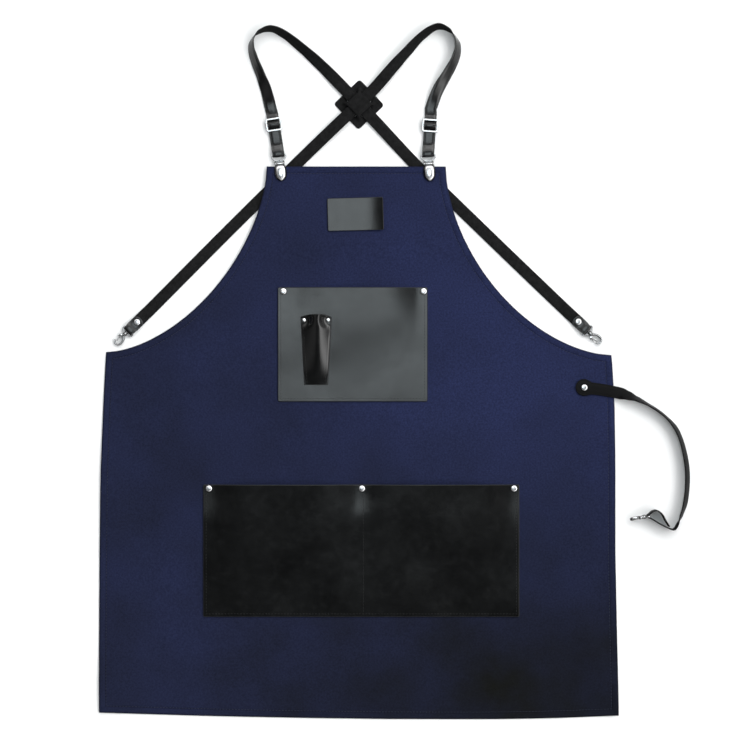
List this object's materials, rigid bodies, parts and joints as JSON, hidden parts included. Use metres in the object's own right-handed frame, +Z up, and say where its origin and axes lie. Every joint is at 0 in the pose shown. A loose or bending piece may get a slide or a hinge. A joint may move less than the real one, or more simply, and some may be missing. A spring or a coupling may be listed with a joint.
{
  "type": "barber apron",
  "caption": "Canvas bib apron laid flat, with leather pockets, a scissor sleeve, cross-back leather straps on bib clips, and swivel snap hooks for the waist.",
  "frame": {"origin": "middle of the whole part's box, on the floor that it lies on", "axes": "+Y from the hem to the shoulder straps, +X to the right as seen from above, +Z up through the cloth's outer face"},
  "size_m": [0.7928, 0.933, 0.0202],
  "materials": {
    "canvas": "navy twill canvas, matt",
    "pocket_leather": "black smooth leather, semi-gloss",
    "strap_leather": "black strap leather with a fine grain",
    "chrome": "bright plated metal"
  },
  "bodies": {
    "apron": {"apron_body": "canvas", "label_patch": "pocket_leather", "chest_pocket": "pocket_leather", "scissor_sleeve": "pocket_leather", "lower_pocket": "pocket_leather", "chest_rivet_left": "chrome", "chest_rivet_right": "chrome", "lower_rivet_left": "chrome", "lower_rivet_middle": "chrome", "lower_rivet_right": "chrome", "sleeve_rivet_left": "chrome", "sleeve_rivet_right": "chrome", "tab_rivet_left": "chrome", "tab_rivet_right": "chrome", "waist_rivet": "chrome", "shoulder_strap_left": "strap_leather", "shoulder_strap_right": "strap_leather", "waist_strap": "strap_leather", "cross_patch": "strap_leather", "slider_left": "chrome", "slider_right": "chrome", "bib_clip_frame_left": "chrome", "bib_clip_frame_right": "chrome", "hook_eye_left": "chrome", "hook_eye_right": "chrome", "hook_eye_waist": "chrome"},
    "clip_jaw_left": {"bib_clip_jaw_left": "chrome"},
    "clip_jaw_right": {"bib_clip_jaw_right": "chrome"},
    "claw_left": {"hook_claw_left": "chrome"},
    "claw_right": {"hook_claw_right": "chrome"},
    "claw_waist": {"hook_claw_waist": "chrome"},
    "gate_left": {"hook_gate_left": "chrome"},
    "gate_right": {"hook_gate_right": "chrome"},
    "gate_waist": {"hook_gate_waist": "chrome"}
  },
  "joints": [
    {"name": "clip_jaw_left_hinge", "type": "hinge", "parent": "apron", "child": "clip_jaw_left", "pos_m": [-0.15382, 0.27924, 0.00496], "axis": [-0.9925, -0.1219, 0], "range_deg": [0, 50]},
    {"name": "clip_jaw_right_hinge", "type": "hinge", "parent": "apron", "child": "clip_jaw_right", "pos_m": [0.04633, 0.27917, 0.00496], "axis": [-0.9976, -0.0698, 0], "range_deg": [0, 50]},
    {"name": "hook_left_swivel", "type": "hinge", "parent": "apron", "child": "claw_left", "pos_m": [-0.361, 0.05128, 0.00326], "axis": [-0.7218, -0.6921, 0], "continuous": true},
    {"name": "hook_right_swivel", "type": "hinge", "parent": "apron", "child": "claw_right", "pos_m": [0.26283, 0.05198, 0.00326], "axis": [0.7218, -0.6921, 0], "continuous": true},
    {"name": "hook_waist_swivel", "type": "hinge", "parent": "apron", "child": "claw_waist", "pos_m": [0.33497, -0.19415, 0.00941], "axis": [-0.9836, -0.1805, 0], "continuous": true},
    {"name": "hook_left_gate", "type": "hinge", "parent": "claw_left", "child": "gate_left", "pos_m": [-0.36697, 0.04984, 0.00326], "axis": [0, 0, 1], "range_deg": [0, 24], "stiffness_Nm_per_rad": 0.02, "springref_deg": -11.46},
    {"name": "hook_right_gate", "type": "hinge", "parent": "claw_right", "child": "gate_right", "pos_m": [0.26451, 0.04607, 0.00326], "axis": [0, 0, 1], "range_deg": [0, 24], "stiffness_Nm_per_rad": 0.02, "springref_deg": -11.46},
    {"name": "hook_waist_gate", "type": "hinge", "parent": "claw_waist", "child": "gate_waist", "pos_m": [0.32976, -0.19511, 0.01251], "axis": [0.1805, -0.9836, 0], "range_deg": [0, 24], "stiffness_Nm_per_rad": 0.02, "springref_deg": -11.46}
  ]
}
